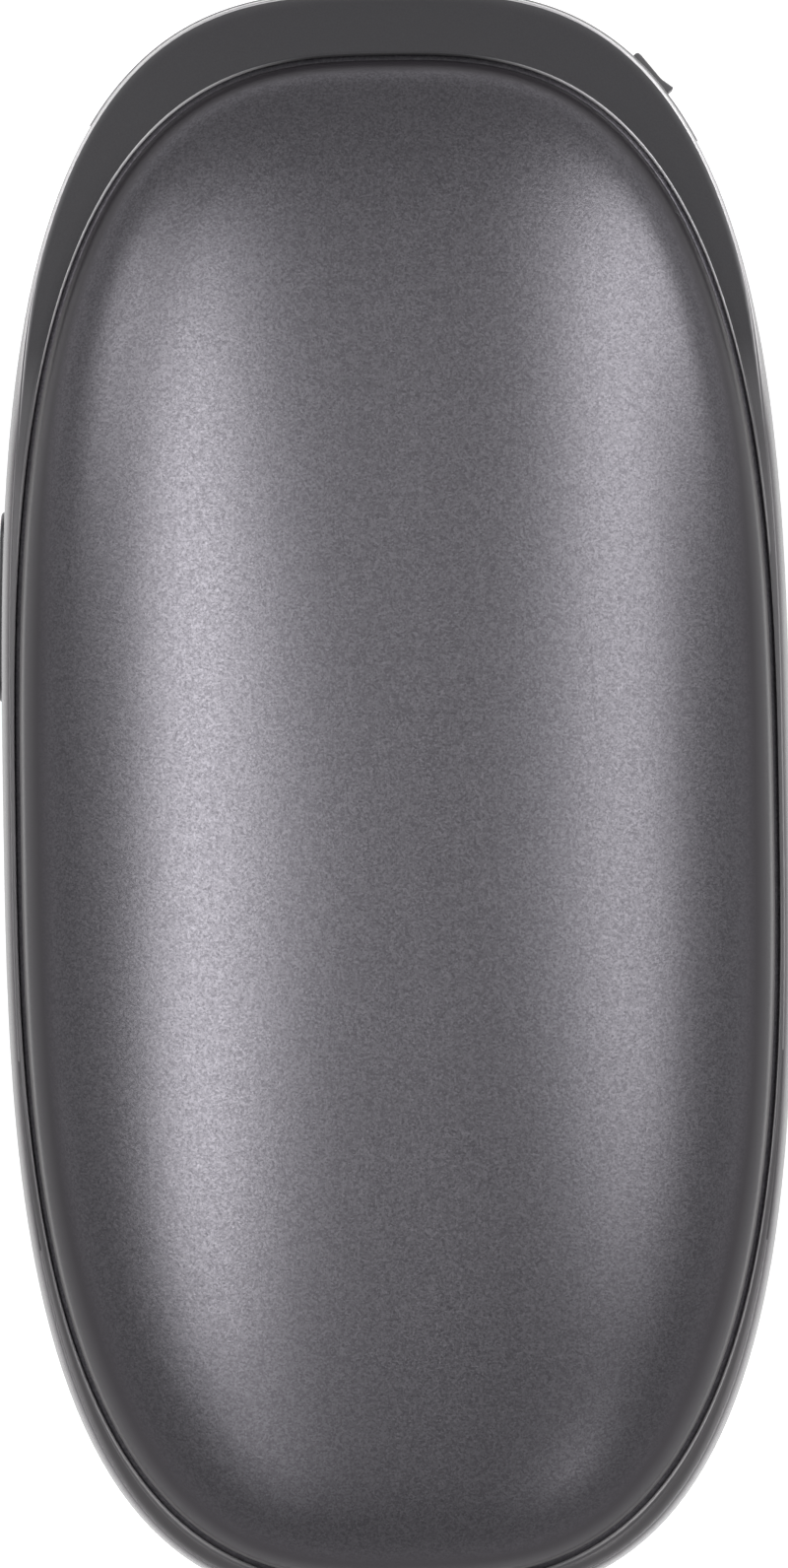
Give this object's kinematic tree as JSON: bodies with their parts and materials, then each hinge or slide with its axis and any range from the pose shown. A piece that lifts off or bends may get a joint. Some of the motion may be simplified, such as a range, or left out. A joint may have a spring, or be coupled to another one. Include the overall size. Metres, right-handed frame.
{
  "type": "rechargeable hand warmer",
  "caption": "Pebble-shaped rechargeable hand warmer and power bank: domed heated shells on a band, end plate with sockets and slide switch, side power button.",
  "frame": {"origin": "middle of the underside, where the front shell's crown rests on a table", "axes": "+Z out of the rear shell, +Y towards the port end, +X to the right as seen from behind"},
  "size_m": [0.0582, 0.1185, 0.03],
  "materials": {
    "shell_paint": "pressed aluminium with satin metallic paint",
    "band_abs": "moulded ABS, satin painted",
    "plate_abs": "moulded ABS, satin painted",
    "knob_abs": "moulded, fine matt texture",
    "black_plastic": "moulded, matt",
    "nylon": "moulded nylon",
    "steel": "zinc plated",
    "plated_shell": "bright nickel plating",
    "nickel": "rolled",
    "board_laminate": "glass laminate with green solder mask",
    "ferrite": "pressed ferrite",
    "ceramic_parts": "fired ceramic",
    "lamp_resin": "cast resin",
    "clear_acrylic": "moulded, clear and frosted at the tips",
    "cell_sleeve": "shrunk plastic sleeve",
    "heater_film": "amber polyimide film",
    "foam": "closed cell foam",
    "wire_red": "extruded silicone",
    "wire_black": "extruded silicone",
    "wire_white": "extruded silicone"
  },
  "bodies": {
    "housing": {"rear_shell": "shell_paint", "front_shell": "shell_paint", "mid_frame": "band_abs", "port_plate": "plate_abs", "lanyard_pins": "steel", "switch_body": "steel", "button_switch": "black_plastic", "button_board": "board_laminate", "main_board": "board_laminate", "board_screws": "steel", "usb_a_shell": "plated_shell", "usb_a_tongue": "black_plastic", "usb_c_shell": "plated_shell", "usb_c_tongue": "black_plastic", "power_inductor": "ferrite", "control_chips": "black_plastic", "filter_capacitors": "ceramic_parts", "indicator_leds": "lamp_resin", "light_pipe": "clear_acrylic", "cell_left": "cell_sleeve", "cell_right": "cell_sleeve", "cell_holder": "black_plastic", "holder_screws": "steel", "nickel_strips": "nickel", "rear_heater": "heater_film", "front_heater": "heater_film", "rear_foam": "foam", "front_foam": "foam", "thermistors": "black_plastic", "cell_lead_positive": "wire_red", "cell_lead_negative": "wire_black", "button_lead": "wire_white", "heater_lead_rear": "wire_white", "heater_lead_front": "wire_white"},
    "switch": {"switch_knob": "knob_abs", "switch_lever": "nylon"},
    "button": {"power_button": "knob_abs", "button_dome": "steel"}
  },
  "joints": [
    {"name": "switch_slide", "type": "slide", "parent": "housing", "child": "switch", "axis": [0.6566, -0.7543, 0], "range_m": [0, 0.002]},
    {"name": "button_press", "type": "slide", "parent": "housing", "child": "button", "axis": [1, 0, 0], "range_m": [0, 0.00035], "stiffness_N_per_m": 2000, "springref_m": -0.0002}
  ]
}
